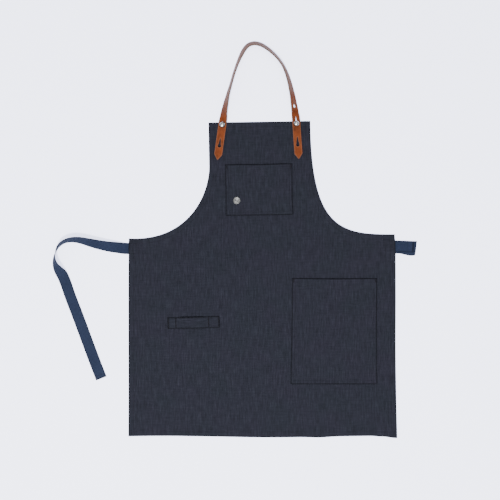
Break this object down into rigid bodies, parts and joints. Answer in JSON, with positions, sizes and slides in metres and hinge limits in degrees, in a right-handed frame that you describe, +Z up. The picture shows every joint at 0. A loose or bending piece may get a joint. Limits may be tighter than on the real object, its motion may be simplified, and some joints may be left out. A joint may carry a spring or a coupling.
{
  "type": "bib apron",
  "caption": "Dark denim bib apron laid flat, with patch pockets, a towel loop, a leather neck strap buttoned on ball studs, and tape ties.",
  "frame": {"origin": "on the surface the apron lies on, under the middle of the waist, midway between the two ties", "axes": "+Y from the hem towards the bib and the neck strap, +Z up out of the apron's front, +X towards the hand pocket"},
  "size_m": [0.8498, 0.9215, 0.0261],
  "materials": {
    "denim": "matte twill, fine vertical slubs",
    "tape": "matte twill tape",
    "leather": "satin, creased edge line",
    "nickel": "polished",
    "badge_metal": "satin, turned rings",
    "thread": "matte thread"
  },
  "bodies": {
    "skirt": {"skirt_panel": "denim", "hand_pocket": "denim", "hand_pocket_tack_left": "thread", "hand_pocket_tack_right": "thread", "towel_loop": "denim", "towel_loop_tack_left_outer": "thread", "towel_loop_tack_left_inner": "thread", "towel_loop_tack_right_inner": "thread", "towel_loop_tack_right_outer": "thread", "left_tie_end": "tape", "right_tie_end": "tape"},
    "bib": {"bib_panel": "denim", "left_armhole_facing": "denim", "right_armhole_facing": "denim", "bib_pocket": "denim", "bib_pocket_tack_left": "thread", "bib_pocket_tack_right": "thread", "badge": "badge_metal", "left_stud": "nickel", "right_stud": "nickel", "left_stud_screw": "nickel", "right_stud_screw": "nickel", "left_strap_end": "leather", "right_strap_end": "leather"},
    "neck_loop": {"strap_loop": "leather"},
    "left_tie_free": {"left_tie": "tape"},
    "right_tie_stub": {"right_tie": "tape"},
    "right_tie_folded": {"right_tie_return": "tape"}
  },
  "joints": [
    {"name": "bib_fold", "type": "hinge", "parent": "skirt", "child": "bib", "pos_m": [0, 0.017, 0.012], "axis": [1, 0, 0], "range_deg": [0, 175]},
    {"name": "strap_swing", "type": "hinge", "parent": "bib", "child": "neck_loop", "pos_m": [-0.007, 0.303, 0.0075], "axis": [-1, 0, 0], "range_deg": [-100, 0]},
    {"name": "left_tie_swing", "type": "hinge", "parent": "skirt", "child": "left_tie_free", "pos_m": [-0.313, 0, 0.016], "axis": [0, 1, 0], "range_deg": [0, 150]},
    {"name": "right_tie_swing", "type": "hinge", "parent": "skirt", "child": "right_tie_stub", "pos_m": [0.3085, 0, 0.017], "axis": [0, -1, 0], "range_deg": [0, 150]},
    {"name": "right_tie_unfold", "type": "hinge", "parent": "right_tie_stub", "child": "right_tie_folded", "pos_m": [0.3575, 0, 0.00135], "axis": [0.0523, -0.9986, 0], "range_deg": [0, 178]}
  ]
}
